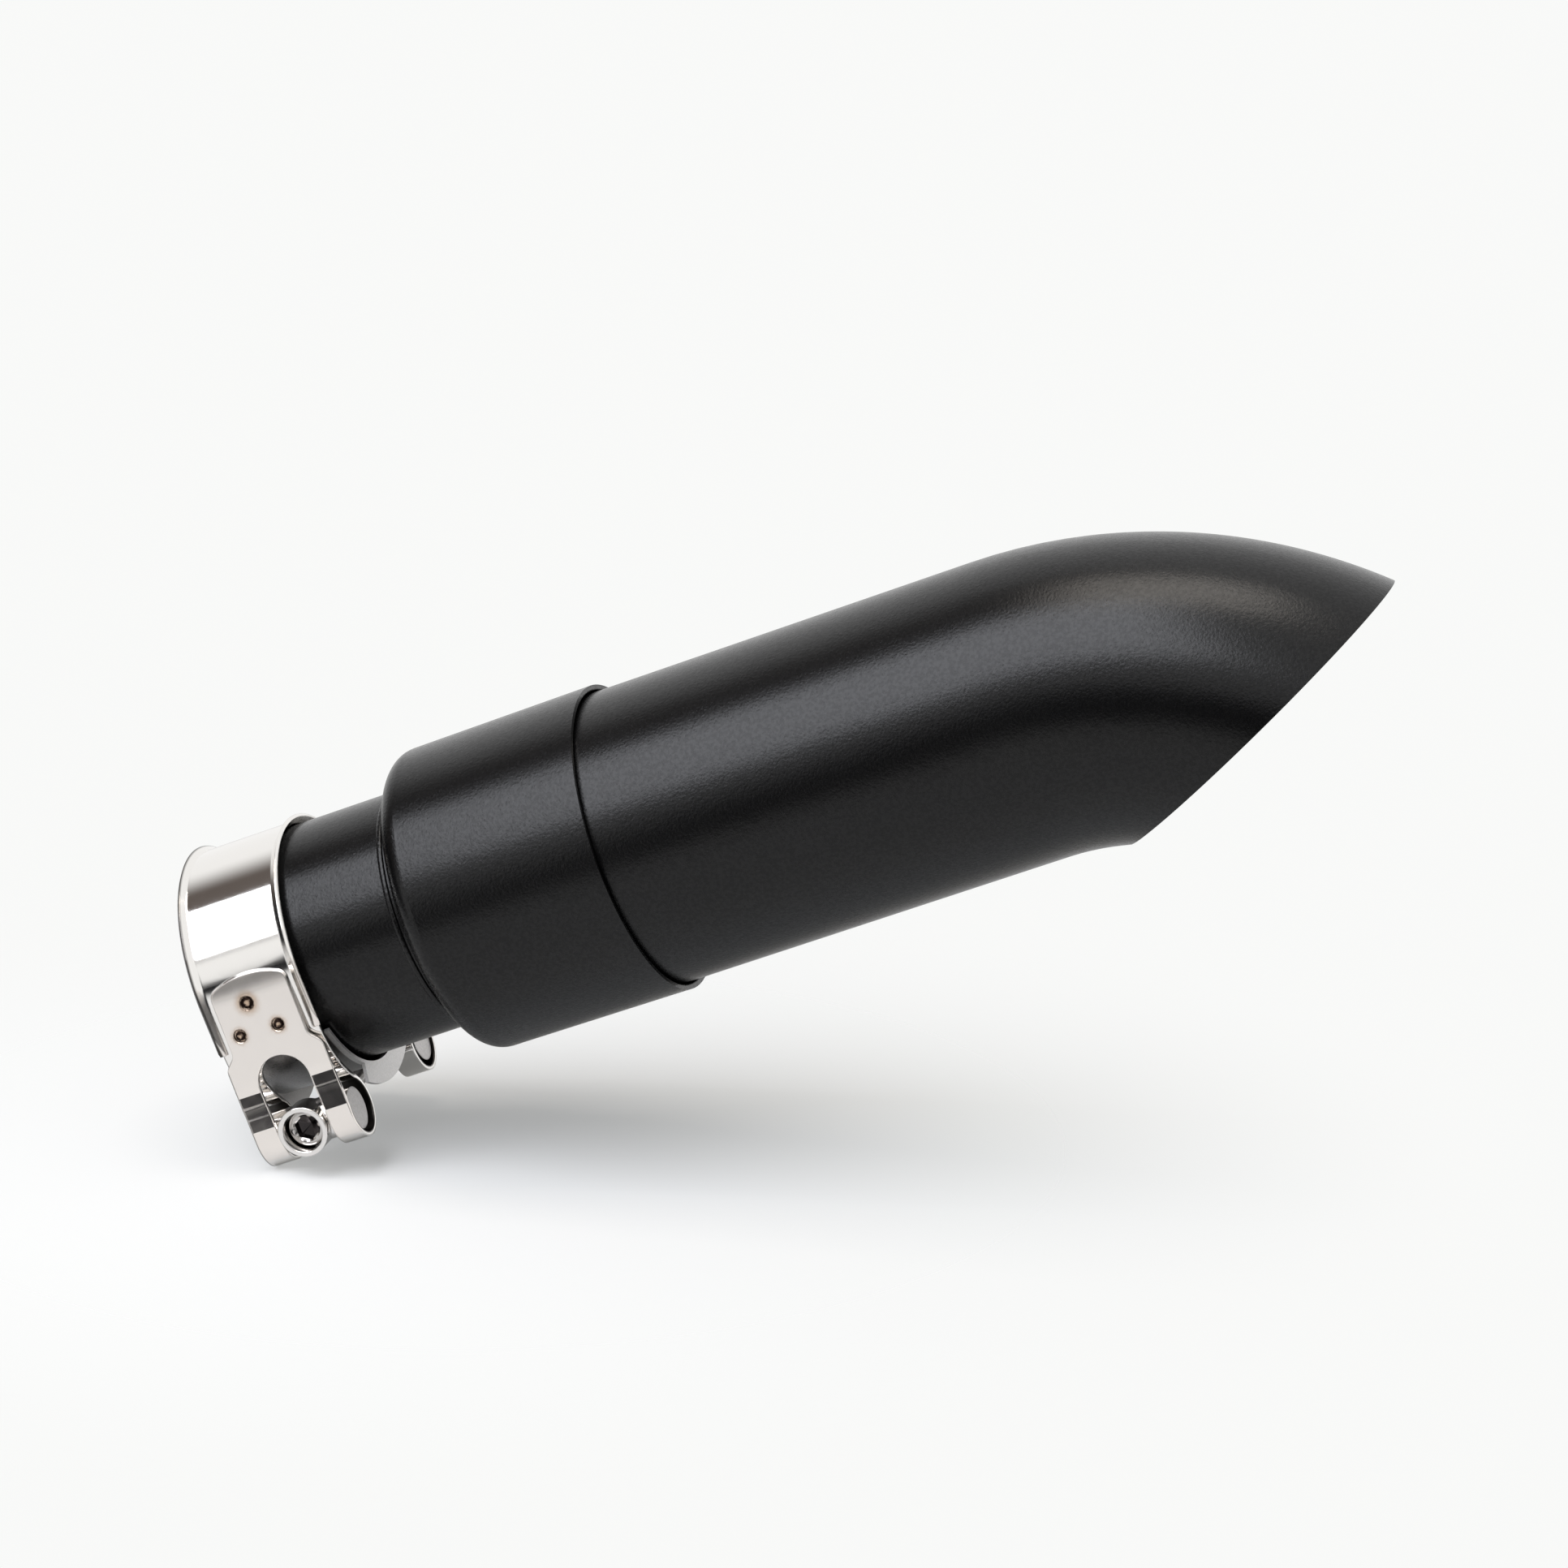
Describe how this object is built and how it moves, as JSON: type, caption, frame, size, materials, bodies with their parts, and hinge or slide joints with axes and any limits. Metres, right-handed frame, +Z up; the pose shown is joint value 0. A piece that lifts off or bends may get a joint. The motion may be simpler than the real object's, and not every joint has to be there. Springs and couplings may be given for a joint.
{
  "type": "motorcycle muffler",
  "caption": "Slip-on motorcycle muffler: black tube with a drawn front cap, a turned-down slash-cut tip and a stainless band clamp on its inlet pipe.",
  "frame": {"origin": "centre of the inlet pipe's mouth, on the pipe's axis", "axes": "+X along the inlet axis towards the tip, +Z up, the tip turns down to -Z, the clamp's gap faces -Z and its screw's head faces -Y"},
  "size_m": [0.2749, 0.0696, 0.0741],
  "materials": {
    "black_coat": "satin black powder coat with a fine grain",
    "core_steel": "plain mill steel",
    "wool": "matted mineral wool",
    "polished_steel": "polished stainless sheet",
    "barrel_steel": "turned stainless with sawn ends"
  },
  "bodies": {
    "root": {"inlet_pipe": "black_coat", "front_cap": "black_coat", "outer_shell": "black_coat", "perforated_core": "core_steel", "rear_baffle": "core_steel", "wool_packing": "wool", "clamp_band": "polished_steel", "clamp_bridge": "polished_steel", "head_barrel": "barrel_steel", "nut_barrel": "barrel_steel", "clamp_screw": "barrel_steel"}
  },
  "joints": []
}
